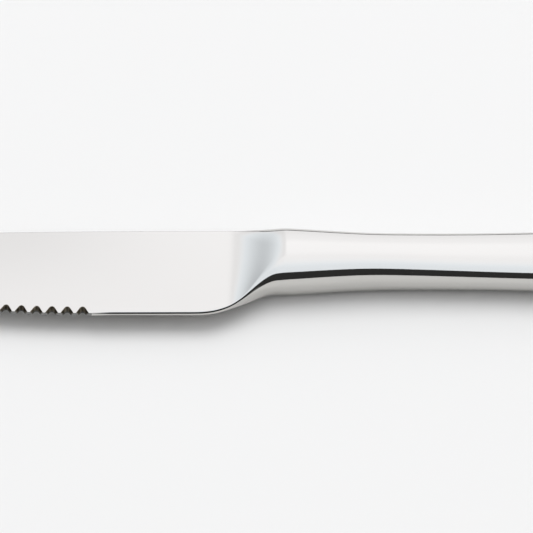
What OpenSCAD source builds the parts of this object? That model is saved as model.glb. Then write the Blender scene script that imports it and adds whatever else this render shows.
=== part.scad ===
// Steak knife with a serrated blade and a hollow handle.
// It lies on its side: the tip is towards -X, the butt of the handle towards +X, the spine towards
// +Y and the cutting edge towards -Y. Z is up and the handle's lowest point is at Z 0.
// The blade, its bolster, a spigot and the tang are one forging. Two half-shells close round the
// tang. Solder joins them to each other and to the bolster, and cement holds the tang.

/* [Overall] */
// Length of the knife, from the tip of the blade to the butt of the handle
knife_l = 235; // [220:1:250]
// Length of the handle, from the shoulder joint to the butt
handle_l = 117.5; // [110:0.5:125]

/* [Blade] */
// Width of the blade from spine to edge, next to the bolster
blade_w = 20.4; // [18:0.1:23]
// Height of the spine above the axis of the handle
spine_rise = 7.1; // [6.6:0.1:8]
// Thickness of the spine, next to the bolster
spine_t = 2.2; // [1.8:0.1:2.6]
// Thickness of the blunt edge, next to the bolster
edge_t = 1; // [0.8:0.05:1.3]
// Thickness of the spine at the tip
tip_t = 1.4; // [1.2:0.05:1.7]
// Height of the tip below the line of the spine
tip_drop = 3; // [1:0.5:6]
// Length of straight spine in front of the bolster
straight_spine_l = 5.5; // [2:0.5:30]
// Length of level edge in front of the bolster
level_edge_l = 22; // [10:0.5:40]

/* [Serrations] */
// Distance from one scallop to the next
scallop_pitch = 3.05; // [2.8:0.05:4]
// Radius of the round nose of the wheel that grinds the scallops
scallop_r = 0.8; // [0.6:0.05:0.9]
// Angle between the edge and a flank of the wheel
scallop_flank = 47; // [44:1:56]
// Depth of a scallop on the upper cheek
scallop_depth = 1.6; // [1.2:0.1:1.9]
// Lean of the wheel's path from upright, which leaves a scallop shallower on the lower cheek
scallop_lean = 50; // [40:1:52]
// Plain edge between the bolster and the middle of the first scallop
plain_edge_l = 24.8; // [15:0.1:40]
// Length of the point that is left plain
plain_tip_l = 5; // [4:0.5:12]

/* [Bolster] */
// Length of the bolster, where the blade grows into the handle
bolster_l = 16; // [14:0.5:20]
// Length over which the bolster swells to the thickness of the handle
swell_l = 13; // [9:0.5:14]
// Length over which the corners of its section grow to those of the handle
round_l = 12; // [9:0.5:14]
// Distance in front of the shoulder at which the edge starts to rise to the belly
belly_l = 19.5; // [17:0.5:22]
// Distance in front of the shoulder at which the belly line has reached the handle
belly_lead = 2; // [0:0.5:4]
// Distance in front of the shoulder at which the handle starts to narrow to its neck
neck_lead = 8; // [4:0.5:12]
// Rounding of the blade's long edges at the bolster
edge_break = 0.15; // [0.1:0.01:0.25]

/* [Handle] */
// Thickness of the handle at the shoulder joint
shoulder_t = 8.8; // [8:0.1:9.6]
// Width of the neck, which is the narrowest place of the handle
neck_w = 11.2; // [10.6:0.1:12.5]
// Thickness of the handle once it has thinned behind the shoulder
neck_t = 7.1; // [6.6:0.1:7.8]
// Distance from the shoulder to the neck
neck_l = 20; // [16:0.5:24]
// Distance from the shoulder to the place where the handle stops thinning
thinning_l = 46; // [35:1:60]
// Distance from the shoulder to the place where the handle starts to widen again
flare_start = 20; // [15:1:40]
// Width of the handle at the butt
butt_w = 15.6; // [14:0.1:18]
// Thickness of the handle at the butt
butt_t = 6.8; // [6.4:0.1:7.4]
// Length of the rounded end of the butt
butt_round_l = 8; // [5:0.5:12]

/* [Shells and solder] */
// Wall of the half-shells
wall = 0.9; // [0.7:0.05:1.1]
// Thickness of the solder in the seam between the half-shells
seam_t = 0.2; // [0.1:0.05:0.3]
// Thickness of the solder between the bolster and the shells
joint_t = 0.2; // [0.1:0.05:0.3]

/* [Tang and cement] */
// Length of the spigot on the bolster that centres the shells
spigot_l = 2.5; // [1.5:0.1:3.5]
// Clearance between the spigot and the shells
spigot_clearance = 0.05; // [0.03:0.01:0.1]
// Length of the tang behind the shoulder
tang_l = 45; // [30:1:52]
// Width of the tang at its root
tang_w = 6.4; // [5:0.1:7]
// Width of the tang at its tip
tang_tip_w = 4; // [3.5:0.1:5]
// Thickness of the tang
tang_t = 3; // [2.4:0.1:3.4]
// Radius of the keying notches in the sides of the tang
key_r = 0.8; // [0.5:0.1:1]
// Distance between the keying notches
key_pitch = 11; // [8:0.5:14]
// Least length of cement behind the tip of the tang
cement_cover = 4; // [2:0.5:8]

/* [Hidden] */

// Powers of the curves: spine and edge towards the tip, rise of the belly, swell of the bolster,
// corners of the section at the heel and on the handle, end of the butt
spine_power = 2.5;
edge_power = 2.3;
belly_power = 1.6;
swell_power = 1.7;
heel_corner_power = 2;
corner_power = 3.2;
butt_plan_power = 2.2;
butt_side_power = 3;

// Steps in which curves are drawn
outline_steps = 28;
corner_steps = 8;
bolster_steps = 20;
handle_steps = 24;
butt_steps = 8;
nose_steps = 5;

// Overrun of cutting bodies, and how deep the spigot and tang are rooted in the bolster
overrun = 1;

blade_l = knife_l - handle_l - bolster_l;
heel_x = -bolster_l;
tip_x = heel_x - blade_l;
edge_drop = blade_w - spine_rise;
round_x = handle_l - butt_round_l;

// The model's origin is under the middle of its bounding box. The functions below measure X from
// the shoulder joint, Y from the axis of the handle and Z from the middle plane of the knife.
origin_shift = [
    knife_l/2 - handle_l,
    (edge_drop - max(spine_rise, butt_w/2))/2,
    shoulder_t/2
];

function mix(from, to, share) = from + (to - from)*share;

// Smooth step that rises from 0 at lo to 1 at hi
function ease(x, lo, hi) = let (t = max(0, min(1, (x - lo)/(hi - lo)))) t*t*(3 - 2*t);

// Part of the way to the tip, from 0 at start to 1 at the tip
function tipward(x, start) = max(0, (start - x)/(start - tip_x));

// Half the width of the handle, carried on into the bolster
function handle_y(x) = mix(spine_rise, neck_w/2, ease(x, -neck_lead, neck_l))
    + (butt_w - neck_w)/2*ease(x, flare_start, round_x);

// Half the thickness of the handle
function handle_z(x) = (mix(shoulder_t, neck_t, ease(x, 0, thinning_l))
    + (butt_t - neck_t)*ease(x, thinning_l, round_x))/2;

// Upper line of the knife's outline: the spine, then the handle
function spine_y(x) = x < heel_x
    ? spine_rise - tip_drop*pow(tipward(x, heel_x - straight_spine_l), spine_power)
    : handle_y(x);

// Lower line of the outline: the edge, then the belly of the bolster and the handle
function edge_y(x) =
    let (
        climb = (blade_w - tip_drop)*pow(tipward(x, heel_x - level_edge_l), edge_power),
        belly = pow(ease(x, -belly_l, -belly_lead), belly_power)
    )
    climb - (edge_drop - spine_rise)*(1 - belly) - (x < heel_x ? spine_rise : handle_y(x));

// Direction of the edge in degrees, by which a scallop is turned
function edge_angle(x) = atan((edge_y(x + scallop_r/2) - edge_y(x - scallop_r/2))/scallop_r);

// Half the thickness of the blade: both cheeks are flat and thin out towards edge and tip
function cheek_z(x, y) = mix(edge_t, spine_t, (y + edge_drop)/blade_w)/2
    - (spine_t - tip_t)/2*(heel_x - x)/blade_l;

// Half the thickness of the bolster at a point y of its outline
function bolster_z(x, y) =
    mix(cheek_z(x, y), handle_z(x), pow(ease(x, -swell_l, 0), swell_power));

// What the belly has on top of that, because it swells earlier
function belly_z(x) = (handle_z(x) - cheek_z(x, edge_y(x)))
    *(ease(x, -swell_l, -belly_lead) - pow(ease(x, -swell_l, 0), swell_power));

// One quarter of a section, from its side to its crown, with a corner of radii ry and rz
function quarter(half_w, half_t, ry, rz, power) = [
    for (i = [0:corner_steps])
        let (turn = 90*i/corner_steps)
        [
            half_w - ry + ry*pow(cos(turn), 2/power),
            half_t - rz + rz*pow(sin(turn), 2/power)
        ]
];

function reversed(list) = [for (i = [len(list) - 1:-1:0]) list[i]];

// Upper half of a section, from one side over the crown to the other
function upper_half(q) = concat(q, [for (p = reversed(q)) [-p.x, p.y]]);

// Whole section, once round
function whole(q) = concat(upper_half(q), [for (p = upper_half(q)) [-p.x, -p.y]]);

// A place along the handle as [x, half width, half thickness], drawn in by inset. Places beyond
// handle_steps go round the butt and end in a point.
function handle_place(i, inset) =
    let (
        x = mix(joint_t, round_x, min(1, i/handle_steps)),
        turn = 90*max(0, i - handle_steps)/butt_steps
    )
    [
        x + (butt_round_l - inset)*pow(sin(turn), 2/butt_plan_power),
        (handle_y(x) - inset)*pow(cos(turn), 2/butt_plan_power),
        seam_t/2 + (handle_z(x) - inset - seam_t/2)*pow(cos(turn), 2/butt_side_power)
    ];

// Quarter section at a place of the handle. It starts beside the seam.
function handle_quarter(place) =
    quarter(place[1], place[2], place[1] - seam_t/2, place[2] - seam_t/2, corner_power);

function handle_ring(place) = [for (p = whole(handle_quarter(place))) [place.x, p.x, p.y]];

function shell_ring(place) = [for (p = upper_half(handle_quarter(place))) [place.x, p.x, p.y]];

// Section of the bolster: blade-like with a thin edge at the heel, handle-like at the shoulder
function bolster_ring(x) =
    let (
        middle = (spine_y(x) + edge_y(x))/2,
        half_w = (spine_y(x) - edge_y(x))/2,
        spine_z = bolster_z(x, spine_y(x)),
        edge_z = bolster_z(x, edge_y(x)),
        half_t = (spine_z + edge_z)/2,
        taper = (spine_z - edge_z)/2/half_t,
        belly = belly_z(x)/half_t,
        roundness = ease(x, -round_l, 0),
        fullness = ease(x, -round_l, -belly_lead),
        ry = mix(edge_break, half_w - seam_t/2, roundness),
        rz = mix(edge_break, half_t - seam_t/2, fullness),
        power = mix(heel_corner_power, corner_power, roundness)
    )
    [
        for (p = whole(quarter(half_w, half_t, ry, rz, power)))
            let (share = p.x/half_w)
            [x, middle + p.x, p.y*(1 + taper*share + belly*pow((1 - share)/2, 3))]
    ];

// Triangles of a band between two rows of n points that start at a and b
function band(a, b, n) = [
    for (j = [0:n - 2])
        each [[a + j, a + j + 1, b + j + 1], [a + j, b + j + 1, b + j]]
];

// The same band, closed into a tube
function closed_band(a, b, n) =
    concat(band(a, b, n), [[a + n - 1, a, b], [a + n - 1, b, b + n - 1]]);

function flipped(faces) = [for (f = faces) reversed(f)];

// Solid through a list of closed rings with equal numbers of points
module loft(rings) {
    n = len(rings[0]);
    last = (len(rings) - 1)*n;
    polyhedron(
        [for (ring = rings) each ring],
        concat(
            [[for (j = [0:n - 1]) j]],
            flipped([for (start = [0:n:last - n]) each closed_band(start, start + n, n)]),
            [[for (j = [n - 1:-1:0]) last + j]]
        )
    );
}

// Flat collar between two outer rings, with the hole that two inner rings leave
module collar(outer_a, outer_b, inner_a, inner_b) {
    n = len(outer_a);
    polyhedron(
        concat(outer_a, outer_b, inner_a, inner_b),
        concat(
            flipped(closed_band(0, n, n)),
            closed_band(2*n, 3*n, n),
            closed_band(0, 2*n, n),
            flipped(closed_band(n, 3*n, n))
        )
    );
}

module place_knife() {
    translate(origin_shift)
        children();
}

// Outline of the blade from the heel to the tip and back
module blade_outline() {
    points = [for (i = [0:outline_steps]) mix(heel_x, tip_x, i/outline_steps)];
    polygon(concat(
        [for (x = points) [x, edge_y(x)]],
        [for (i = [outline_steps - 1:-1:0]) [points[i], spine_y(points[i])]]
    ));
}

// Space between the two flat cheeks
module cheek_wedge() {
    corners = [
        for (x = [tip_x - overrun, heel_x], y = [-edge_drop - overrun, spine_rise + overrun])
            [x, y]
    ];
    polyhedron(
        concat(
            [for (c = corners) [c.x, c.y, -cheek_z(c.x, c.y)]],
            [for (c = corners) [c.x, c.y, cheek_z(c.x, c.y)]]
        ),
        [[0, 2, 3, 1], [4, 5, 7, 6], [0, 1, 5, 4], [2, 6, 7, 3], [0, 4, 6, 2], [1, 3, 7, 5]]
    );
}

// Middles of the scallops, one pitch apart along the edge, from x to the plain point
function scallop_places(x) = x < tip_x + plain_tip_l
    ? []
    : concat([x], scallop_places(x - scallop_pitch*cos(edge_angle(x))));

// Profile of the wheel: a round nose that ends at Y 0, between two straight flanks
module wheel_profile() {
    flank_l = 2*scallop_depth;
    nose = [
        for (i = [-nose_steps:nose_steps])
            let (turn = scallop_flank*i/nose_steps)
            [scallop_r*sin(turn), scallop_r*(cos(turn) - 1)]
    ];
    foot = [flank_l*cos(scallop_flank), flank_l*sin(scallop_flank)];
    polygon(concat(
        [nose[0] - foot],
        nose,
        [nose[2*nose_steps] + [foot.x, -foot.y]]
    ));
}

// Leaning path of the wheel, which cuts one scallop through the edge
module scallop_cutter(x) {
    half_t = cheek_z(x, edge_y(x));
    translate([x, edge_y(x), 0])
        rotate([0, 0, edge_angle(x)])
        translate([0, scallop_depth - half_t*tan(scallop_lean), 0])
        rotate([-scallop_lean, 0, 0])
        linear_extrude(height = 2*(spine_t + scallop_depth), center = true)
        wheel_profile();
}

// Flat blade with its scallops
module blade_plate() {
    difference() {
        intersection() {
            linear_extrude(height = 2*spine_t, center = true)
                blade_outline();
            cheek_wedge();
        }
        for (x = scallop_places(heel_x - plain_edge_l))
            scallop_cutter(x);
    }
}

// Tang with pairs of keying notches, drawn from a depth inside the bolster
module tang_form(root) {
    linear_extrude(height = tang_t, center = true)
        difference() {
            polygon([
                [-root, -tang_w/2],
                [tang_l, -tang_tip_w/2],
                [tang_l, tang_tip_w/2],
                [-root, tang_w/2]
            ]);
            for (x = [key_pitch:key_pitch:tang_l - key_pitch/2], side = [-1, 1])
                translate([x, side*mix(tang_w, tang_tip_w, (x + root)/(tang_l + root))/2])
                    circle(r = key_r, $fn = 24);
        }
}

// Section of the spigot, which passes inside the shells as far as its end
spigot_place = [
    spigot_l,
    handle_y(spigot_l) - wall - spigot_clearance,
    handle_z(spigot_l) - wall - spigot_clearance
];

function spigot_ring(x) = [for (p = handle_ring(spigot_place)) [x, p.y, p.z]];

// Blade, bolster, spigot and tang in one forging
module blade() {
    color([0.80, 0.80, 0.79])
        place_knife() {
            blade_plate();
            loft([for (i = [0:bolster_steps]) bolster_ring(mix(heel_x, 0, i/bolster_steps))]);
            loft([spigot_ring(-overrun), spigot_ring(spigot_l)]);
            tang_form(overrun);
        }
}

// End point of a skin, beside the seam
function handle_point(inset) = [handle_l - inset, 0, seam_t/2];

// Half of the hollow handle: an outer and an inner skin that both end in a point at the butt
module shell() {
    last = handle_steps + butt_steps;
    outer = [for (i = [0:last - 1]) shell_ring(handle_place(i, 0))];
    inner = [for (i = [0:last - 1]) shell_ring(handle_place(i, wall))];
    n = len(outer[0]);
    inside = last*n;
    outer_point = 2*inside;
    inner_point = outer_point + 1;
    outer_end = inside - n;
    inner_end = outer_point - n;
    outer_skin = concat(
        [for (i = [0:last - 2]) each band(i*n, (i + 1)*n, n)],
        [for (j = [0:n - 2]) [outer_end + j, outer_end + j + 1, outer_point]]
    );
    inner_skin = concat(
        [for (i = [0:last - 2]) each band(inside + i*n, inside + (i + 1)*n, n)],
        [for (j = [0:n - 2]) [inner_end + j, inner_end + j + 1, inner_point]]
    );
    // Flat faces beside the seam, along one side, round the butt and along the other side
    near_rim = [for (i = [0:last - 1]) i*n];
    far_rim = [for (i = [0:last - 1]) i*n + n - 1];
    rim = concat(near_rim, [outer_point], reversed(far_rim));
    rim_in = concat(
        [for (v = near_rim) v + inside],
        [inner_point],
        [for (v = reversed(far_rim)) v + inside]
    );
    seam_face = [
        for (k = [0:len(rim) - 2])
            each [[rim[k], rim[k + 1], rim_in[k + 1]], [rim[k], rim_in[k + 1], rim_in[k]]]
    ];
    polyhedron(
        concat(
            [for (ring = outer) each ring],
            [for (ring = inner) each ring],
            [handle_point(0), handle_point(wall)]
        ),
        concat(
            flipped(outer_skin),
            inner_skin,
            band(0, inside, n),
            flipped(seam_face)
        )
    );
}

// Half-shell on top, as the knife lies
module handle_shell_upper() {
    color([0.82, 0.82, 0.81])
        place_knife()
        shell();
}

// Half-shell underneath
module handle_shell_lower() {
    color([0.82, 0.82, 0.81])
        place_knife()
        mirror([0, 0, 1])
        shell();
}

// Run of solder in the seam, from the spine side round the butt to the belly side
module seam_solder() {
    last = handle_steps + butt_steps;
    outer = [for (i = [0:last]) handle_place(i, 0)];
    inner = [for (i = [0:last]) handle_place(i, wall)];
    color([0.86, 0.85, 0.82])
        place_knife()
        translate([0, 0, -seam_t/2])
        linear_extrude(height = seam_t)
        polygon(concat(
            [for (p = outer) [p.x, p.y]],
            [for (i = [last - 1:-1:0]) [outer[i].x, -outer[i].y]],
            [for (i = [0:last - 1]) [inner[i].x, -inner[i].y]],
            [for (p = reversed(inner)) [p.x, p.y]]
        ));
}

// Ring of solder between the bolster and the shells, round the spigot
module shoulder_solder() {
    color([0.86, 0.85, 0.82])
        place_knife()
        collar(
            bolster_ring(0),
            handle_ring(handle_place(0, 0)),
            spigot_ring(0),
            spigot_ring(joint_t)
        );
}

// Place inside the shells at x, on the straight line from place i - 1 to place i
function inner_place(x, i) =
    let (
        before = handle_place(i - 1, wall),
        after = handle_place(i, wall)
    )
    mix(before, after, (x - before.x)/(after.x - before.x));

// Cement that fills the shells round the tang. It ends at the first place behind the cover.
module tang_cement() {
    place_l = (round_x - joint_t)/handle_steps;
    start = floor((spigot_l - joint_t)/place_l) + 1;
    end = ceil((tang_l + cement_cover - joint_t)/place_l);
    color([0.66, 0.63, 0.57])
        place_knife()
        difference() {
            loft(concat(
                [handle_ring(inner_place(spigot_l, start))],
                [for (i = [start:end]) handle_ring(handle_place(i, wall))]
            ));
            tang_form(overrun);
        }
}

blade();
handle_shell_upper();
handle_shell_lower();
seam_solder();
shoulder_solder();
tang_cement();
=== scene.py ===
"""Polished steak knife with a scalloped edge, lying on its side on a white table.

The rules of the meshes are those of the CAD part, drawn finer, with worn corners and with a belly that
swells a little later. They measure in millimetres: X from the shoulder joint towards the butt, Y from
the axis of the handle towards the spine, Z up from the middle plane of the knife.
"""

import math
from types import SimpleNamespace
from typing import NamedTuple

import bpy
import numpy as np
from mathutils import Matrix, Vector


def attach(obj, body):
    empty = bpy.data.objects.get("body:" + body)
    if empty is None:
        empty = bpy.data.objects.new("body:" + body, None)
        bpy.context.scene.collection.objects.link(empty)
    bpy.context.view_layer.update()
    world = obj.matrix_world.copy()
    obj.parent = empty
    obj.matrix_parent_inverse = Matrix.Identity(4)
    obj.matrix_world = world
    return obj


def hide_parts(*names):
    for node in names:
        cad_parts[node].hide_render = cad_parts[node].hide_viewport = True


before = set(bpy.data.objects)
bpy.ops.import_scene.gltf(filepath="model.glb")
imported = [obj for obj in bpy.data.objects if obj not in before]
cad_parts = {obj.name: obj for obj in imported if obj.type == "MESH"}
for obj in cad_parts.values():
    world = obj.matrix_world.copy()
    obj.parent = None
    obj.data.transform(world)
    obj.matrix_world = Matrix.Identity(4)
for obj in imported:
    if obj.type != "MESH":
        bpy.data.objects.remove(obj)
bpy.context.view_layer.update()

MM = 0.001

# Sizes of the knife in millimetres
KNIFE = SimpleNamespace(
    knife_length=235,
    handle_length=117.5,
    blade_width=20.4,
    spine_rise=7.1,
    spine_thickness=2.2,
    edge_thickness=1,
    tip_thickness=1.4,
    tip_drop=3,
    straight_spine=5.5,
    level_edge=22,
    bolster_length=16,
    swell_length=13,
    round_length=12,
    belly_length=19.5,
    belly_lead=2,
    neck_lead=8,
    neck_width=11.2,
    neck_distance=20,
    flare_start=20,
    butt_width=15.6,
    shoulder_thickness=8.8,
    neck_thickness=7.1,
    thinning_length=46,
    butt_thickness=6.8,
    butt_round=8,
    wall=0.9,
    seam=0.2,
    joint=0.2,
)

# Sizes of the scallops that the wheel grinds into the edge
SCALLOP = SimpleNamespace(
    pitch=3.05,
    nose_radius=0.8,
    flank_angle=math.radians(47),
    depth=1.6,
    lean=math.radians(50),
    plain_edge=24.8,
    plain_tip=5,
)

# Sizes of the spigot and the tang inside the handle
TANG = SimpleNamespace(
    spigot_length=2.5,
    spigot_clearance=0.05,
    length=45,
    root_width=6.4,
    tip_width=4,
    thickness=3,
    root_depth=1,
    key_radius=0.8,
    key_pitch=11,
    corner=0.15,
)

# Worn corners of the blade: spine, blunt edge, ground edge, and the rounding of the point
WORN = SimpleNamespace(
    spine=0.32,
    blunt=0.28,
    blunt_reach=0.34,
    ground=0.05,
    ground_lead=5,
    point=0.7,
)

# Powers of the curves
SPINE_POWER = 2.5
EDGE_POWER = 2.3
BELLY_POWER = 1.6
SWELL_POWER = 1.7
BELLY_SWELL_POWER = 1.4
BELLY_FADE_POWER = 3
BEVEL_POWER = 1.3
ROUND_POWER = 2
CORNER_POWER = 3.2
BUTT_PLAN_POWER = 2.2
BUTT_SIDE_POWER = 3

# Mesh rows round a section of the blade, as shares of its cheek or of its side
CHEEK_SHARES = (1, 0.998, 0.8, 0.6, 0.45, 0.3, 0.18, 0.08, 0.002, 0)
SIDE_SHARES = (0, 0.6, 0.99, 1)
CORNER_ROWS = 16
FACET_ROWS = 4

# Mesh columns along the blade and the tang
NOSE_COLUMNS = 6
FLANK_COLUMNS = 7
PLAIN_COLUMNS = 45
BOLSTER_COLUMNS = 77
POINT_COLUMNS = 14
NEAR_POINT_COLUMNS = 20
SPIGOT_COLUMNS = 4
KEY_COLUMNS = 15

# Distance from the end of a scallop to the columns beside it, which keep its outline crisp
CRISP = 0.012

# How far the rows of a corner crowd towards its ends, on the blade and on the handle
BLADE_CROWDING = 0.7
HANDLE_CROWDING = 0.8

# Mesh of a half-shell: stations along the handle, and steps over its outer or inner skin
STATIONS = 230
SKIN_STEPS = 10
RING_STEPS = 2 * (SKIN_STEPS + 1)
ROWS_PER_STEP = 8
SEAM_STEPS = 200

# Stations that the rounding of the butt takes, as a share of those of the rest of the handle
BUTT_SHARE = 0.35

# Distance in metres within which the points of a half-shell are merged
MERGE_DISTANCE = 1e-7

SHARP_ANGLE = math.radians(32)

STEEL_COLOUR = (0.64, 0.63, 0.605)

HEEL_X = -KNIFE.bolster_length
TIP_X = KNIFE.handle_length - KNIFE.knife_length
EDGE_DROP = KNIFE.blade_width - KNIFE.spine_rise
ROUND_X = KNIFE.handle_length - KNIFE.butt_round

# From the shoulder joint to the frame's origin, in millimetres
SHIFT = np.array([
    KNIFE.knife_length / 2 - KNIFE.handle_length,
    (EDGE_DROP - max(KNIFE.spine_rise, KNIFE.butt_width / 2)) / 2,
    KNIFE.shoulder_thickness / 2,
])

# Camera of the photo. The place of the handle's axis is in pixels from the top of the picture.
CAMERA = SimpleNamespace(
    elevation=math.radians(52),
    distance=0.95,
    picture_side=533,
    pixels_per_mm=5.0,
    axis_pixel=261.7,
    centre_x=-4.3,
    sensor=36,
    near=0.05,
    far=20,
)

# Cloth of the light tent, in metres, with its front and back ends in degrees from upright
TENT = SimpleNamespace(
    radius=0.5,
    half_length=0.9,
    front=-27,
    back=83,
    strips=59,
)

# Soft lamp behind the knife, in metres and watts
LAMP = SimpleNamespace(
    length=2.0,
    width=1.5,
    distance=2.2,
    elevation=math.radians(68),
    aside=0.05,
    power=22.5,
)

TABLE_HALF_SIDE = 4


# Node graphs

class Socket:
    """A socket of a node graph. Python's operators on it add Math nodes."""

    def __init__(self, graph, socket):
        self.graph = graph
        self.socket = socket

    def math(self, operation, *others):
        """A Math node with this socket first."""
        values = dict(enumerate((self, *others)))
        return self.graph.node("ShaderNodeMath", {"operation": operation}, values)

    def math_after(self, operation, first):
        """A Math node with this socket second."""
        return self.graph.node("ShaderNodeMath", {"operation": operation}, {0: first, 1: self})

    def __add__(self, other):
        return self.math("ADD", other)

    def __sub__(self, other):
        return self.math("SUBTRACT", other)

    def __mul__(self, other):
        return self.math("MULTIPLY", other)

    def __truediv__(self, other):
        return self.math("DIVIDE", other)

    def __pow__(self, other):
        return self.math("POWER", other)

    def __radd__(self, other):
        return self.math_after("ADD", other)

    def __rsub__(self, other):
        return self.math_after("SUBTRACT", other)

    def __rmul__(self, other):
        return self.math_after("MULTIPLY", other)

    def __rtruediv__(self, other):
        return self.math_after("DIVIDE", other)

    def __neg__(self):
        return self.math_after("SUBTRACT", 0)

    def output(self, name):
        """Another output of the same node."""
        return Socket(self.graph, find_socket(self.socket.node.outputs, name))


def find_socket(sockets, key):
    """The socket in use with that number, identifier or name."""
    used = [socket for socket in sockets if socket.enabled]
    if isinstance(key, int):
        return used[key]
    return next(socket for socket in used if key in (socket.identifier, socket.name))


class Graph:
    """A shader or geometry node tree."""

    def __init__(self, tree):
        self.tree = tree
        self.tree.nodes.clear()

    def node(self, kind, settings=None, values=None, output=0):
        """Adds a node: its settings first, then the values or links of its sockets."""
        node = self.tree.nodes.new(kind)
        for name, setting in (settings or {}).items():
            if name == "stops":
                set_stops(node.color_ramp, setting)
            else:
                setattr(node, name, setting)
        for key, value in (values or {}).items():
            socket = find_socket(node.inputs, key)
            if isinstance(value, Socket):
                self.tree.links.new(value.socket, socket)
            else:
                socket.default_value = value
        if not len(node.outputs):
            return None
        return Socket(self, find_socket(node.outputs, output))


def set_stops(ramp, stops):
    """Gives a colour ramp its stops, each a position and a colour."""
    while len(ramp.elements) > 1:
        ramp.elements.remove(ramp.elements[-1])
    for i, (position, colour) in enumerate(stops):
        element = ramp.elements[0] if i == 0 else ramp.elements.new(position)
        element.position = position
        element.color = (*colour, 1)


# Rules that take numbers, arrays or sockets alike

def clamp(value):
    if isinstance(value, Socket):
        return value.math("MAXIMUM", 0).math("MINIMUM", 1)
    return np.clip(value, 0, 1)


def positive(value):
    return value.math("MAXIMUM", 0) if isinstance(value, Socket) else np.maximum(value, 0)


def sine(value):
    return value.math("SINE") if isinstance(value, Socket) else np.sin(value)


def cosine(value):
    return value.math("COSINE") if isinstance(value, Socket) else np.cos(value)


def mix(start, end, share):
    return start + (end - start) * share


def ease(x, low, high):
    """Smooth step from 0 at low to 1 at high."""
    t = clamp((x - low) / (high - low))
    return t * t * (3 - 2 * t)


def half_width(x, s):
    """Half the width of the handle, carried on into the bolster."""
    return (
        mix(s.spine_rise, s.neck_width / 2, ease(x, -s.neck_lead, s.neck_distance))
        + (s.butt_width - s.neck_width) / 2 * ease(x, s.flare_start, s.handle_length - s.butt_round)
    )


def half_thickness(x, s):
    """Half the thickness of the handle."""
    return (
        mix(s.shoulder_thickness, s.neck_thickness, ease(x, 0, s.thinning_length))
        + (s.butt_thickness - s.neck_thickness)
        * ease(x, s.thinning_length, s.handle_length - s.butt_round)
    ) / 2


# Rules of the blade and the bolster

def tipward(x, start):
    """Share of the way from a start to the tip, and 0 on the handle's side of the start."""
    return np.maximum(0, (start - x) / (start - TIP_X))


def spine_y(x):
    """Upper line of the blade and the bolster."""
    fall = KNIFE.tip_drop * tipward(x, HEEL_X - KNIFE.straight_spine) ** SPINE_POWER
    return np.where(x < HEEL_X, KNIFE.spine_rise - fall, half_width(x, KNIFE))


def edge_y(x):
    """Lower line: the cutting edge, then the belly of the bolster."""
    climb = (KNIFE.blade_width - KNIFE.tip_drop) * tipward(x, HEEL_X - KNIFE.level_edge) ** EDGE_POWER
    belly = ease(x, -KNIFE.belly_length, -KNIFE.belly_lead) ** BELLY_POWER
    drop = (EDGE_DROP - KNIFE.spine_rise) * (1 - belly)
    return climb - drop - np.where(x < HEEL_X, KNIFE.spine_rise, half_width(x, KNIFE))


def edge_slope(x):
    """Direction of the edge, in radians."""
    step = SCALLOP.nose_radius / 2
    return np.arctan2(edge_y(x + step) - edge_y(x - step), 2 * step)


def cheek_z(x, y):
    """Half the thickness of the blade, whose cheeks are flat."""
    thin = (KNIFE.spine_thickness - KNIFE.tip_thickness) / 2
    blade_length = HEEL_X - TIP_X
    share = (y + EDGE_DROP) / KNIFE.blade_width
    at_heel = mix(KNIFE.edge_thickness, KNIFE.spine_thickness, share) / 2
    return at_heel - thin * (HEEL_X - x) / blade_length


def bolster_z(x, y):
    """Half the thickness of the bolster at a point y of its outline."""
    swell = ease(x, -KNIFE.swell_length, 0) ** SWELL_POWER
    return mix(cheek_z(x, y), half_thickness(x, KNIFE), swell)


def belly_z(x):
    """Half the thickness that the belly has on top of that, because it swells earlier."""
    early = ease(x, -KNIFE.swell_length, -KNIFE.belly_lead) ** BELLY_SWELL_POWER
    late = ease(x, -KNIFE.swell_length, 0) ** SWELL_POWER
    return (half_thickness(x, KNIFE) - cheek_z(x, edge_y(x))) * (early - late)


def scallop_middles():
    """X of the middle of each scallop, one pitch apart along the edge."""
    middles = []
    x = HEEL_X - SCALLOP.plain_edge
    while x > TIP_X + SCALLOP.plain_tip:
        middles.append(x)
        x -= SCALLOP.pitch * math.cos(edge_slope(x))
    return middles


def scallop_half_length():
    """Half the length of a scallop along the edge, on the upper cheek."""
    s = SCALLOP
    drop = s.depth * math.cos(s.lean) + s.nose_radius * (1 / math.cos(s.flank_angle) - 1)
    return drop / math.tan(s.flank_angle)


# Sections of the blade

class Corner(NamedTuple):
    """How far the corner of a section reaches along Y and Z, and the power of its curve."""
    reach_y: float
    reach_z: float
    power: float


class Spot(NamedTuple):
    """What the scallop tree has to know about a point of the blade.

    from_middle is the distance along the edge from the middle of a scallop, follow the share of the
    wheel's cut by which the point moves, drop its depth below the upper cheek, and across the same as
    a share of the edge's thickness. edge_band is 1 on the edge, and cheek_side 1 on top and -1 below.
    """
    from_middle: float
    follow: float
    drop: float
    across: float
    edge_slope: float
    edge_band: float
    cheek_side: float


PLAIN_SPOT = Spot(
    from_middle=SCALLOP.pitch,
    follow=0,
    drop=0,
    across=0,
    edge_slope=0,
    edge_band=0,
    cheek_side=0,
)


def section_rows():
    """Rows of the upper half of a section, each as (kind, share), from the spine to the edge."""
    lap = 2 * math.pi
    turns = [i / CORNER_ROWS for i in range(1, CORNER_ROWS)]
    turns = [turn - BLADE_CROWDING * math.sin(lap * turn) / lap for turn in turns]
    facet = [1 - i / FACET_ROWS for i in range(1, FACET_ROWS + 1)]
    rows = [("spine_side", share) for share in SIDE_SHARES]
    rows += [("spine_corner", turn) for turn in turns]
    rows += [("cheek", share) for share in CHEEK_SHARES]
    rows += [("edge_corner", turn) for turn in reversed(turns)]
    rows += [("edge_side", share) for share in (*reversed(SIDE_SHARES[2:]), *facet)]
    return rows


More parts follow.
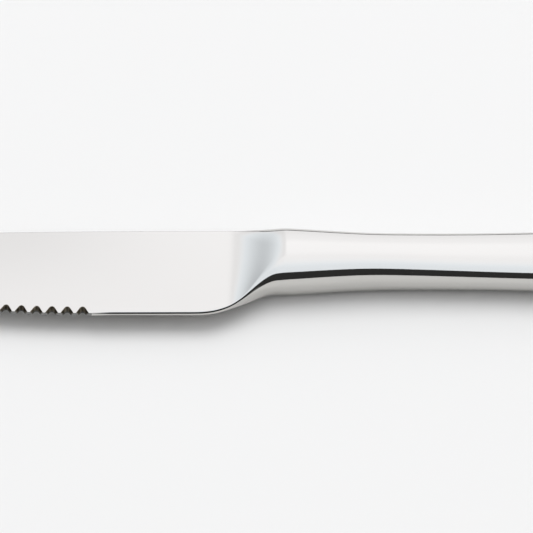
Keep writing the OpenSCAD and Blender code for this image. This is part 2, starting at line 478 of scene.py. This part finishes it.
def place_row(kind, share, w, t, spine_corner, edge_corner):
    """Y and Z of a row of a section, where w and t are half its width and thickness."""
    if kind == "spine_side":
        return w, share * (t - spine_corner.reach_z)
    if kind == "cheek":
        return mix(edge_corner.reach_y - w, w - spine_corner.reach_y, share), t
    if kind == "edge_side":
        return -w, share * (t - edge_corner.reach_z)
    corner = spine_corner if kind == "spine_corner" else edge_corner
    turn = share * math.pi / 2
    across = corner.reach_y * math.cos(turn) ** (2 / corner.power)
    up = corner.reach_z * math.sin(turn) ** (2 / corner.power)
    z = t - corner.reach_z + up
    if kind == "spine_corner":
        return w - corner.reach_y + across, z
    return corner.reach_y - w - across, z


def blade_columns():
    """X of each section from the tip to the shoulder, and its distance from a scallop's middle."""
    s = SCALLOP
    half = scallop_half_length()
    nose = s.nose_radius * math.sin(s.flank_angle)
    right = [nose * i / NOSE_COLUMNS for i in range(NOSE_COLUMNS + 1)]
    right += [mix(nose, half, i / FLANK_COLUMNS) for i in range(1, FLANK_COLUMNS)]
    right += [half - CRISP, half + CRISP, (half + s.pitch / 2) / 2]
    offsets = [-offset for offset in reversed(right[1:])] + right
    columns = []
    for middle in scallop_middles():
        run = math.cos(edge_slope(middle))
        columns += [(middle + offset * run, offset) for offset in offsets]
    first = max(x for x, _ in columns)
    last = min(x for x, _ in columns)
    bend = np.linspace(0, math.pi / 2, POINT_COLUMNS)
    plain = [
        *np.linspace(first, HEEL_X, PLAIN_COLUMNS + 1)[1:],
        *np.linspace(HEEL_X, 0, BOLSTER_COLUMNS + 1)[1:],
        *(TIP_X + WORN.point * (1 - np.cos(bend))),
        *np.linspace(TIP_X + WORN.point, last, NEAR_POINT_COLUMNS + 2)[1:-1],
    ]
    columns += [(x, s.pitch) for x in plain]
    return sorted(columns)


def blade_corners(x, w, t, taper, belly, ground_end):
    """Corners of a section at the spine and at the edge, which grow into those of the handle."""
    roundness = float(ease(x, -KNIFE.round_length, 0))
    fullness = float(ease(x, -KNIFE.round_length, -KNIFE.belly_lead))
    late = roundness ** 2
    full_y = w - KNIFE.seam / 2
    full_z = t - KNIFE.seam / 2
    blunt = float(ease(x, ground_end, ground_end + WORN.ground_lead))
    edge_reach_y = mix(WORN.ground, WORN.blunt_reach, blunt)
    edge_reach_z = mix(WORN.ground, WORN.blunt, blunt) / (1 - taper + belly)
    spine_corner = Corner(
        min(w, mix(WORN.spine, full_y, roundness)),
        min(t, mix(WORN.spine / (1 + taper), full_z, fullness)),
        mix(ROUND_POWER, CORNER_POWER, roundness),
    )
    edge_corner = Corner(
        min(w, mix(edge_reach_y, full_y, late)),
        mix(edge_reach_z, full_z, fullness),
        mix(BEVEL_POWER, CORNER_POWER, late),
    )
    return spine_corner, edge_corner


def blade_sections():
    """Rings of points round the blade and the bolster, and the Spot of each point."""
    rows = section_rows()
    ground_end = max(scallop_middles()) + scallop_half_length()
    least_tip = 0.01
    rings = []
    spots = []
    for x, offset in blade_columns():
        top = float(spine_y(x))
        low = float(edge_y(x))
        w = max(WORN.ground / 2, (top - low) / 2)
        spine_z = float(bolster_z(x, top))
        edge_z = float(bolster_z(x, low))
        t = (spine_z + edge_z) / 2
        taper = (spine_z - edge_z) / 2 / t
        belly = float(belly_z(x)) / t
        from_point = min(1.0, (x - TIP_X) / WORN.point)
        tip = max(least_tip, math.sqrt(1 - (1 - from_point) ** 2))
        corners = blade_corners(x, w, t, taper, belly, ground_end)
        upper = [(kind, share, *place_row(kind, share, w, t, *corners)) for kind, share in rows]
        slope = float(edge_slope(x))
        edge_t = 2 * float(cheek_z(x, low))
        scalloped = offset < SCALLOP.pitch
        ring = []
        for side, places in ((1, upper), (-1, list(reversed(upper))[1:-1])):
            for kind, share, y, z in places:
                z *= side * (1 + taper * y / w + belly * ((1 - y / w) / 2) ** BELLY_FADE_POWER)
                on_edge = kind in ("edge_corner", "edge_side")
                if on_edge:
                    near_edge = 1
                    drop = edge_t / 2 - z
                else:
                    near_edge = 1 - share if kind == "cheek" else 0
                    drop = 0 if side > 0 else edge_t
                ring.append((x, (top + low) / 2 + y, z * tip))
                spots.append(Spot(
                    from_middle=offset,
                    follow=scalloped * near_edge,
                    drop=drop,
                    across=drop / edge_t,
                    edge_slope=slope,
                    edge_band=on_edge,
                    cheek_side=np.sign(z),
                ))
        rings.append(ring)
    return rings, spots


def tang_sections():
    """Rings round the shoulder's inner edge, the spigot and the tang, in as many points each."""
    rows = section_rows()
    t = TANG

    def ring(x, w, h, reach_y, reach_z):
        corner = Corner(reach_y, reach_z, CORNER_POWER)
        upper = [place_row(kind, share, w, h, corner, corner) for kind, share in rows]
        return [(x, y, z) for y, z in upper] + [(x, y, -z) for y, z in reversed(upper[1:-1])]

    inset = KNIFE.wall + t.spigot_clearance
    w = float(half_width(t.spigot_length, KNIFE)) - inset
    h = float(half_thickness(t.spigot_length, KNIFE)) - inset
    rings = [
        ring(x, w, h, w - KNIFE.seam / 2, h - KNIFE.seam / 2)
        for x in np.linspace(0, t.spigot_length, SPIGOT_COLUMNS)
    ]
    keys = np.arange(t.key_pitch, t.length - t.key_pitch / 2, t.key_pitch)
    bite = np.cos(np.linspace(math.pi, 0, KEY_COLUMNS))
    places = [t.spigot_length, t.length]
    places += [key + t.key_radius * b for key in keys for b in bite]
    for x in sorted(places):
        w = mix(t.root_width, t.tip_width, (x + t.root_depth) / (t.length + t.root_depth)) / 2
        near = min(abs(x - keys))
        w -= math.sqrt(max(0, t.key_radius ** 2 - near ** 2))
        rings.append(ring(x, w, t.thickness / 2, t.corner, t.corner))
    return rings


# Meshes and pieces

def loft_mesh(name, rings):
    """A closed mesh through rings of points, from the first ring to the last along X."""
    rings = np.asarray(rings, float)
    count, n = rings.shape[:2]
    index = np.arange(count * n).reshape(count, n)
    right = np.roll(index, -1, axis=1)
    quads = np.stack([index[:-1], right[:-1], right[1:], index[1:]], axis=-1).reshape(-1, 4)
    faces = [list(reversed(index[0].tolist()))] + quads.tolist() + [index[-1].tolist()]
    return plain_mesh(name, rings.reshape(-1, 3), faces)


def plain_mesh(name, points, faces):
    """A mesh of points in millimetres from the shoulder joint."""
    mesh = bpy.data.meshes.new(name)
    mesh.from_pydata(((points + SHIFT) * MM).tolist(), [], faces)
    return mesh


def link_object(name, data):
    """A new object of the scene."""
    thing = bpy.data.objects.new(name, data)
    bpy.context.scene.collection.objects.link(thing)
    return thing


def link_piece(name, mesh, material):
    """A piece made of a mesh and one material."""
    mesh.materials.append(bpy.data.materials[material])
    mesh.shade_smooth()
    mesh.set_sharp_from_angle(angle=SHARP_ANGLE)
    return link_object(name, mesh)


def open_tree(name, sizes):
    """A geometry node tree with a named number input for each size."""
    tree = bpy.data.node_groups.new(name, "GeometryNodeTree")
    tree.interface.new_socket("Geometry", in_out="OUTPUT", socket_type="NodeSocketGeometry")
    tree.interface.new_socket("Geometry", in_out="INPUT", socket_type="NodeSocketGeometry")
    inputs = {}
    for label, value in sizes.items():
        socket = tree.interface.new_socket(label, in_out="INPUT", socket_type="NodeSocketFloat")
        inputs[socket.identifier] = value
    return tree, inputs


def finish_tree(graph, geometry, material):
    """Ends a tree in real, smooth faces with their material."""
    smooth = graph.node(
        "GeometryNodeSetShadeSmooth", {"domain": "FACE"}, {"Geometry": geometry, "Shade Smooth": True})
    real = graph.node("GeometryNodeRealizeInstances", None, {"Geometry": smooth})
    painted = graph.node(
        "GeometryNodeSetMaterial", None, {"Geometry": real, "Material": bpy.data.materials[material]})
    graph.node("NodeGroupOutput", None, {"Geometry": painted})


def run_tree(name, mesh, tree, inputs):
    """The plain mesh that a tree makes of a mesh, as an object at the origin."""
    piece = link_object(name, mesh)
    modifier = piece.modifiers.new(tree.name, "NODES")
    modifier.node_group = tree
    for identifier, value in inputs.items():
        modifier[identifier] = value
    bpy.context.view_layer.update()
    depsgraph = bpy.context.evaluated_depsgraph_get()
    made = bpy.data.meshes.new_from_object(
        piece.evaluated_get(depsgraph), preserve_all_data_layers=True, depsgraph=depsgraph)
    piece.modifiers.remove(modifier)
    piece.data = made
    made.name = name
    made.set_sharp_from_angle(angle=SHARP_ANGLE)
    return piece


# Blade

def scallop_tree():
    """Geometry nodes that sink the edge of the blade into a row of scallops.

    They leave two masks on the points for the material: ground along the whole edge of the scalloped
    stretch, cut or not, and a brown mask where the wheel cut, which fades out over the lower rim of the
    scallops. Where the brown mask is low the edge takes a painted grey: painted shade on the uncut band
    under the teeth, which sinks it into the table's shadow, and a painted reflection of the table along
    the lower rim.
    """
    sizes = {
        "Nose Radius": SCALLOP.nose_radius,
        "Flank Angle": SCALLOP.flank_angle,
        "Depth": SCALLOP.depth,
        "Lean": SCALLOP.lean,
        "Cheek Slope": (KNIFE.spine_thickness - KNIFE.edge_thickness) / 2 / KNIFE.blade_width,
        # Where the brown gives way to grey near the lower rim, as a painted reflection of the table
        "Rim Start": 0.6,
        "Rim End": 0.95,
        "Brown Gain": 5,
        "Unit": MM,
    }
    tree, inputs = open_tree("scallop_row", sizes)
    graph = Graph(tree)
    group = graph.node("NodeGroupInput")
    radius, flank, depth, lean, cheek_slope, rim_start, rim_end, brown_gain, unit = (
        group.output(name) for name in sizes)

    def attribute(name):
        return graph.node("GeometryNodeInputNamedAttribute", {"data_type": "FLOAT"}, {"Name": name})

    offset = attribute("from_middle").math("ABSOLUTE")
    side = radius * sine(flank)
    nose = (positive(radius * radius - offset * offset)) ** 0.5 - radius
    straight = radius * (cosine(flank) - 1) - (offset - side) * sine(flank) / cosine(flank)
    profile = mix(nose, straight, offset.math("GREATER_THAN", side))
    cut = positive(depth + profile / cosine(lean) - attribute("drop") * sine(lean) / cosine(lean))
    slope = attribute("edge_slope")
    move = cut * attribute("follow") * unit
    rise = move * attribute("cheek_side") * cosine(slope) * cheek_slope
    shift = graph.node(
        "ShaderNodeCombineXYZ", None, {0: -sine(slope) * move, 1: cosine(slope) * move, 2: rise})
    shaped = graph.node("GeometryNodeSetPosition", None, {"Geometry": group, "Offset": shift})
    # Painted shade and reflection: ground also covers the uncut band under the teeth, and the brown
    # gives way to grey towards the lower rim, so the band sinks into the shadow's tone and the rim shows
    # a painted reflection of the table
    ground = attribute("edge_band") * attribute("follow")
    lower_rim = ease(attribute("across"), rim_start, rim_end)
    raw = clamp(ground * cut / depth * brown_gain) * (1 - lower_rim)
    for name, value in (("ground", ground), ("raw", raw)):
        shaped = graph.node(
            "GeometryNodeStoreNamedAttribute", {"data_type": "FLOAT", "domain": "POINT"},
            {"Geometry": shaped, "Name": name, "Value": value})
    finish_tree(graph, shaped, "mirror_blade")
    return tree, inputs


def make_blade(rings, spots):
    """Blade, bolster, spigot and tang, one forging."""
    mesh = loft_mesh("blade_forging", rings)
    for name in Spot._fields:
        layer = mesh.attributes.new(name, "FLOAT", "POINT")
        values = [getattr(spot, name) for spot in spots]
        layer.data.foreach_set("value", np.asarray(values, np.float32))
    tree, inputs = scallop_tree()
    piece = run_tree("blade_forging", mesh, tree, inputs)
    for name in Spot._fields:
        piece.data.attributes.remove(piece.data.attributes[name])
    return piece


# Half-shells and solder of the handle

def shell_tree():
    """Geometry nodes that loft one half-shell: outer skin, rims and inner skin in one closed ring."""
    names = (
        "spine_rise", "neck_width", "neck_lead", "neck_distance", "butt_width", "flare_start",
        "handle_length", "butt_round", "shoulder_thickness", "neck_thickness", "thinning_length",
        "butt_thickness", "wall", "seam", "joint",
    )
    labels = {name.replace("_", " ").title(): getattr(KNIFE, name) for name in names}
    tree, inputs = open_tree("half_shell", {**labels, "Side": 1})
    graph = Graph(tree)
    group = graph.node("NodeGroupInput")
    s = SimpleNamespace(**{name: group.output(label) for name, label in zip(names, labels)})
    side = group.output("Side")

    grid = graph.node("GeometryNodeMeshGrid", None, {
        "Size X": 1,
        "Size Y": 1,
        "Vertices X": STATIONS + 1,
        "Vertices Y": RING_STEPS * ROWS_PER_STEP + 1,
    })
    place = graph.node("ShaderNodeSeparateXYZ", None, {0: grid.output("UV Map")})
    station = place.output("X") * STATIONS
    lap = place.output("Y") * RING_STEPS
    front = clamp(station)
    advance = positive(station - 1) / (STATIONS - 1) * (1 + BUTT_SHARE)
    turn = clamp((advance - 1) / BUTT_SHARE) * (math.pi / 2)
    closing = positive(cosine(turn))
    around = clamp(lap / SKIN_STEPS) - clamp((lap - (SKIN_STEPS + 1)) / SKIN_STEPS)
    skin = clamp(lap - SKIN_STEPS) - clamp(lap - (RING_STEPS - 1))
    inset = mix(s.wall / 2, s.wall * skin, front)
    two_laps = 4 * math.pi
    angle = math.pi * (around - HANDLE_CROWDING * sine(around * two_laps) / two_laps)
    base_x = mix(s.joint, s.handle_length - s.butt_round, clamp(advance))
    x = base_x + (s.butt_round - inset) * sine(turn) ** (2 / BUTT_PLAN_POWER)
    w = (half_width(base_x, s) - inset) * closing ** (2 / BUTT_PLAN_POWER)
    h = (half_thickness(base_x, s) - inset - s.seam / 2) * closing ** (2 / BUTT_SIDE_POWER)
    not_shut = clamp(w / MM)
    cos_angle = cosine(angle)
    across = cos_angle.math("ABSOLUTE") ** (2 / CORNER_POWER) * (w - s.seam / 2) + s.seam / 2
    y = across * cos_angle.math("SIGN") * not_shut
    z = (s.seam / 2 + h * positive(sine(angle)) ** (2 / CORNER_POWER)) * side
    shifted = {i: (value + float(SHIFT[i])) * MM for i, value in enumerate((x, y, z))}
    point = graph.node("ShaderNodeCombineXYZ", None, shifted)
    formed = graph.node("GeometryNodeSetPosition", None, {"Geometry": grid, "Position": point})
    closed = graph.node(
        "GeometryNodeMergeByDistance", None, {"Geometry": formed, "Distance": MERGE_DISTANCE})
    turned = graph.node(
        "GeometryNodeFlipFaces", None, {"Mesh": closed, "Selection": side.math("GREATER_THAN", 0)})
    finish_tree(graph, turned, "mirror_handle")
    return tree, inputs


def make_shells():
    """The upper and the lower half of the hollow handle."""
    tree, inputs = shell_tree()
    side = list(inputs)[-1]
    shells = []
    for name, way in (("upper", 1.0), ("lower", -1.0)):
        start = bpy.data.meshes.new("start")
        shells.append(run_tree(f"shell_{name}", start, tree, {**inputs, side: way}))
    return shells


def make_seam():
    """Strip of solder between the half-shells, along one side, round the butt and back."""
    advance = np.linspace(0, 1, SEAM_STEPS + 1) * (1 + BUTT_SHARE)
    turn = clamp((advance - 1) / BUTT_SHARE) * math.pi / 2
    closing = positive(np.cos(turn))
    base_x = mix(KNIFE.joint, ROUND_X, clamp(advance))

    def line(inset):
        x = base_x + (KNIFE.butt_round - inset) * np.sin(turn) ** (2 / BUTT_PLAN_POWER)
        y = (half_width(base_x, KNIFE) - inset) * closing ** (2 / BUTT_PLAN_POWER)
        return np.concatenate([x, x[-2::-1]]), np.concatenate([y, -y[-2::-1]])

    half = KNIFE.seam / 2
    outer = line(0)
    inner = line(KNIFE.wall)
    corners = [(outer, -half), (outer, half), (inner, half), (inner, -half)]
    rings = [
        [(xs[i], ys[i], z) for (xs, ys), z in corners]
        for i in range(len(outer[0]))
    ]
    return link_piece("seam_strip", loft_mesh("seam_strip", rings), "polished_solder")


def make_shoulder_ring(blade_ring, spigot_ring):
    """Ring of solder between the bolster and the shells."""
    joint = KNIFE.joint
    outer = np.array(blade_ring)
    inner = np.array(spigot_ring)
    shells = outer.copy()
    shells[:, 0] = joint
    shells[:, 1] *= float(half_width(joint, KNIFE)) / float(half_width(0.0, KNIFE))
    shells[:, 2] *= float(half_thickness(joint, KNIFE)) / float(half_thickness(0.0, KNIFE))
    back = inner.copy()
    back[:, 0] = joint
    rings = [inner, outer, shells, back]
    n = len(outer)
    faces = []
    for k in range(len(rings)):
        a = k * n
        b = (k + 1) % len(rings) * n
        for j in range(n):
            following = (j + 1) % n
            faces.append((a + j, a + following, b + following, b + j))
    mesh = plain_mesh("shoulder_ring", np.concatenate(rings), faces)
    return link_piece("shoulder_ring", mesh, "polished_solder")


# Materials

def new_material(name):
    """The empty graph of a new material."""
    material = bpy.data.materials.new(name)
    material.use_nodes = True
    return Graph(material.node_tree)


def close_material(graph, shader):
    """Ends a material in its shader."""
    graph.node("ShaderNodeOutputMaterial", None, {"Surface": shader})


def object_place(graph):
    """Object coordinates, in metres."""
    return graph.node("ShaderNodeTexCoord", None, None, "Object")


def noise(graph, place, scale, detail):
    """Noise with about as many grains in a unit of place as its scale says."""
    return graph.node(
        "ShaderNodeTexNoise", {"noise_dimensions": "3D"},
        {"Vector": place, "Scale": scale, "Detail": detail})


def stretched(graph, scale, turn=0.0):
    """Object coordinates, turned about Z and then scaled."""
    return graph.node("ShaderNodeMapping", {"vector_type": "POINT"}, {
        "Vector": object_place(graph), "Rotation": (0, 0, turn), "Scale": scale})


def blend(graph, share, first, second):
    """A colour between two others, of which the second may be a socket."""
    second = second if isinstance(second, Socket) else (*second, 1)
    return graph.node("ShaderNodeMix", {"data_type": "RGBA"}, {
        "Factor_Float": share, "A_Color": (*first, 1), "B_Color": second})


def mask(graph, name):
    """A named mask of the mesh."""
    return graph.node("ShaderNodeAttribute", {"attribute_name": name}, None, "Fac")


def mirror_metal(graph):
    """Shader of mirror-polished stainless steel with fine polishing lines and a faint haze."""
    haze = noise(graph, object_place(graph), scale=60, detail=3)
    lines = noise(graph, stretched(graph, (260, 9000, 9000)), scale=1, detail=2)
    scuffs = noise(graph, stretched(graph, (7000, 500, 2000), turn=0.6), scale=1, detail=1)
    dimming = 0.985
    dimmed = tuple(channel * dimming for channel in STEEL_COLOUR)
    tone = blend(graph, haze, dimmed, STEEL_COLOUR)
    bump = graph.node("ShaderNodeBump", None, {
        "Strength": 0.02, "Distance": 0.00002, "Height": lines * 0.6 + scuffs * 0.4})
    return graph.node("ShaderNodeBsdfPrincipled", None, {
        "Metallic": 1.0,
        "Base Color": tone,
        "Roughness": 0.045 + 0.03 * haze + 0.02 * lines,
        "Normal": bump,
    })


def ground_metal(graph):
    """Shader of the ground edge: brown grinding marks where the wheel cut, and elsewhere a flat grey
    that is painted shade on the uncut band under the teeth and a painted reflection of the table on the
    lower rim of the scallops.
    """
    lines = noise(graph, stretched(graph, (26000, 1500, 1500)), scale=1, detail=2)
    patches = noise(graph, object_place(graph), scale=900, detail=3)
    stops = ((0.35, (0.06, 0.05, 0.03)), (0.55, (0.22, 0.19, 0.14)), (0.75, (0.42, 0.38, 0.30)))
    brown = graph.node("ShaderNodeValToRGB", {"stops": stops}, {"Fac": patches * 0.6 + lines * 0.4})
    # Painted shade and reflection: a dull grey set to sink into the shadow's tone under the teeth, and
    # lighter than the brown on the lower rim
    painted_shade_grey = (0.25, 0.25, 0.245)
    tone = blend(graph, mask(graph, "raw"), painted_shade_grey, brown)
    bump = graph.node("ShaderNodeBump", None, {"Strength": 0.25, "Distance": 0.00003, "Height": lines})
    return graph.node("ShaderNodeBsdfPrincipled", None, {
        "Metallic": 1.0, "Base Color": tone, "Roughness": 0.2 + 0.2 * patches, "Normal": bump})


def blade_material():
    """Mirror steel that turns into ground steel along the scalloped edge."""
    graph = new_material("mirror_blade")
    crispness = 3
    share = clamp(mask(graph, "ground") * crispness)
    polished = mirror_metal(graph)
    metal = graph.node("ShaderNodeMixShader", None, {0: share, 1: polished, 2: ground_metal(graph)})
    close_material(graph, metal)


def polished_material(name):
    """Mirror steel of the handle, or the solder that was polished along with it."""
    graph = new_material(name)
    close_material(graph, mirror_metal(graph))


def cement_material():
    """Matt cement with fine pores."""
    graph = new_material("poured_cement")
    grain = noise(graph, object_place(graph), scale=1400, detail=4)
    pores = graph.node("ShaderNodeTexVoronoi", None, {"Vector": object_place(graph), "Scale": 900})
    tone = blend(graph, grain, (0.42, 0.38, 0.32), (0.60, 0.56, 0.49))
    bump = graph.node("ShaderNodeBump", None, {
        "Strength": 0.6, "Distance": 0.0001, "Height": grain * 0.5 + clamp(pores * 3) * 0.5})
    body = graph.node("ShaderNodeBsdfPrincipled", None, {
        "Base Color": tone, "Roughness": 0.8 + 0.15 * grain, "Normal": bump})
    close_material(graph, body)


def table_material():
    """Matt white, a little cloudy."""
    graph = new_material("white_table")
    cloud = noise(graph, object_place(graph), scale=3, detail=2)
    tone = blend(graph, cloud, (0.80, 0.80, 0.80), (0.82, 0.82, 0.82))
    surface = graph.node("ShaderNodeBsdfPrincipled", None, {"Base Color": tone, "Roughness": 0.7})
    close_material(graph, surface)


def tent_material():
    """Glow of the cloth over the knife, by place: X in metres along it, lean in degrees from upright."""
    graph = new_material("light_tent")
    parts = graph.node("ShaderNodeSeparateXYZ", None, {0: object_place(graph)})
    x = parts.output("X")
    lean = lean_of(parts)
    front_level = 1.20
    fall_length = 0.5
    crest_lean = 39.5
    crest_spread = 4.5
    overhead = 0.14 * ease(lean, -5, 28)
    back_fall = 0.09 * ease(lean, 45, 75)
    left_fall = 0.7 * clamp(-x / fall_length) ** 2
    from_crest = (lean - crest_lean) / crest_spread
    crest = 0.11 * (-(from_crest ** 2)).math("EXPONENT") * ease(x, -0.12, 0)
    fold = 0.12 * ease(lean, 33.2, 35.6) * ease(x, -0.2, -0.08) * (1 - ease(x, -0.085, -0.02))
    level = front_level + overhead - back_fall + crest - left_fall - fold
    warmth = ease(lean, 5, 32) * ease(x, -0.24, -0.1)
    cool_white = (0.955, 1.01, 1.08)
    warm_white = (1.0, 1.0, 1.035)
    colour = blend(graph, warmth, cool_white, warm_white)
    close_material(graph, graph.node("ShaderNodeEmission", None, {"Color": colour, "Strength": level}))


def lean_of(parts):
    """Degrees from upright towards +Y, of a direction or place split into its parts."""
    return parts.output("Y").math("ARCTAN2", parts.output("Z")) * (180 / math.pi)


# Studio

def make_camera():
    """Long lens over the cutting edge, aimed at the middle of the picture."""
    c = CAMERA
    up = Vector((0, math.sin(c.elevation), math.cos(c.elevation)))
    back = Vector((0, -math.cos(c.elevation), math.sin(c.elevation)))
    lower = (c.picture_side / 2 - c.axis_pixel) / c.pixels_per_mm
    aim = (Vector((c.centre_x, 0, 0)) + Vector(SHIFT) - up * lower) * MM
    data = bpy.data.cameras.new("camera")
    data.sensor_width = c.sensor
    data.lens = c.sensor * c.distance / (c.picture_side / c.pixels_per_mm * MM)
    data.clip_start = c.near
    data.clip_end = c.far
    camera = link_object("camera", data)
    camera.location = aim + back * c.distance
    camera.rotation_euler = (-back).to_track_quat("-Z", "Y").to_euler()
    bpy.context.scene.camera = camera


def make_stage(name, points, faces, material):
    """An object of the studio, made of points in metres."""
    mesh = bpy.data.meshes.new(name)
    mesh.from_pydata(points, [], faces)
    mesh.materials.append(bpy.data.materials[material])
    stage = link_object(name, mesh)
    return stage


def make_table():
    """Flat top that the knife lies on."""
    side = TABLE_HALF_SIDE
    points = [(-side, -side, 0), (side, -side, 0), (side, side, 0), (-side, side, 0)]
    make_stage("table_top", points, [(0, 1, 2, 3)], "white_table")


def make_tent():
    """White cloth arched over the knife, which only its mirror finish sees."""
    angles = np.radians(np.linspace(TENT.front, TENT.back, TENT.strips + 1))
    points = [
        (x, TENT.radius * math.sin(angle), TENT.radius * math.cos(angle))
        for angle in angles
        for x in (-TENT.half_length, TENT.half_length)
    ]
    faces = [(2 * i, 2 * i + 1, 2 * i + 3, 2 * i + 2) for i in range(TENT.strips)]
    tent = make_stage("light_tent", points, faces, "light_tent")
    tent.visible_camera = False
    tent.visible_diffuse = False
    tent.visible_shadow = False


def make_lamp():
    """Large soft lamp over the knife, a little behind it, which the steel doesn't show."""
    data = bpy.data.lights.new("back_lamp", "AREA")
    data.shape = "RECTANGLE"
    data.size = LAMP.length
    data.size_y = LAMP.width
    data.energy = LAMP.power
    lamp = link_object("back_lamp", data)
    direction = Vector((LAMP.aside, math.cos(LAMP.elevation), math.sin(LAMP.elevation)))
    lamp.location = direction * LAMP.distance
    lamp.rotation_euler = direction.to_track_quat("Z", "Y").to_euler()
    lamp.visible_glossy = False


def make_world():
    """White to the camera, a light room to the table and a dark one to the steel."""
    world = bpy.data.worlds.new("studio")
    world.use_nodes = True
    bpy.context.scene.world = world
    graph = Graph(world.node_tree)
    to_camera = graph.node("ShaderNodeLightPath", None, None, "Is Camera Ray")
    to_steel = to_camera.output("Is Glossy Ray")
    way = graph.node("ShaderNodeTexCoord", None, None, "Generated")
    parts = graph.node("ShaderNodeSeparateXYZ", None, {0: way})
    right = parts.output("X")
    left = -right
    lean = lean_of(parts)
    ceiling = 0.85
    front_fall = 0.65 * (1 - ease(lean, -65, -25))
    back_fall = 0.4 * ease(lean, 50, 85)
    room = ceiling - front_fall - back_fall
    unlit = 0.036
    right_wall = 0.6 * ease(right, 0.55, 0.8)
    left_wall = 0.5 * ease(left, 0.4, 0.8) * (1 - ease(left, 0.84, 0.92))
    dark_room = unlit + right_wall + left_wall
    white = 1.0
    strength = mix(mix(room, dark_room, to_steel), white, to_camera)
    shade = graph.node("ShaderNodeBackground", None, {"Color": (1, 1, 1, 1), "Strength": strength})
    graph.node("ShaderNodeOutputWorld", None, {"Surface": shade})


# Assembly

make_camera()
blade_material()
polished_material("mirror_handle")
polished_material("polished_solder")
cement_material()
table_material()
tent_material()

blade_rings, blade_spots = blade_sections()
tang_rings = tang_sections()
tang_spots = [PLAIN_SPOT] * sum(len(ring) for ring in tang_rings)

blade = make_blade(blade_rings + tang_rings, blade_spots + tang_spots)
shell_upper, shell_lower = make_shells()
seam = make_seam()
shoulder = make_shoulder_ring(blade_rings[-1], tang_rings[0])
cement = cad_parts["tang_cement"]
cement.data.materials.clear()
cement.data.materials.append(bpy.data.materials["poured_cement"])

for piece, node, slot in (
    (blade, "blade", "blade_steel"),
    (shell_upper, "handle_shell_upper", "handle_steel"),
    (shell_lower, "handle_shell_lower", "handle_steel"),
    (seam, "seam_solder", "silver_solder"),
    (shoulder, "shoulder_solder", "silver_solder"),
):
    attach(piece, "root")
    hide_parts(node)

make_table()
make_tent()
make_lamp()
make_world()
bpy.context.scene.view_settings.view_transform = "Standard"
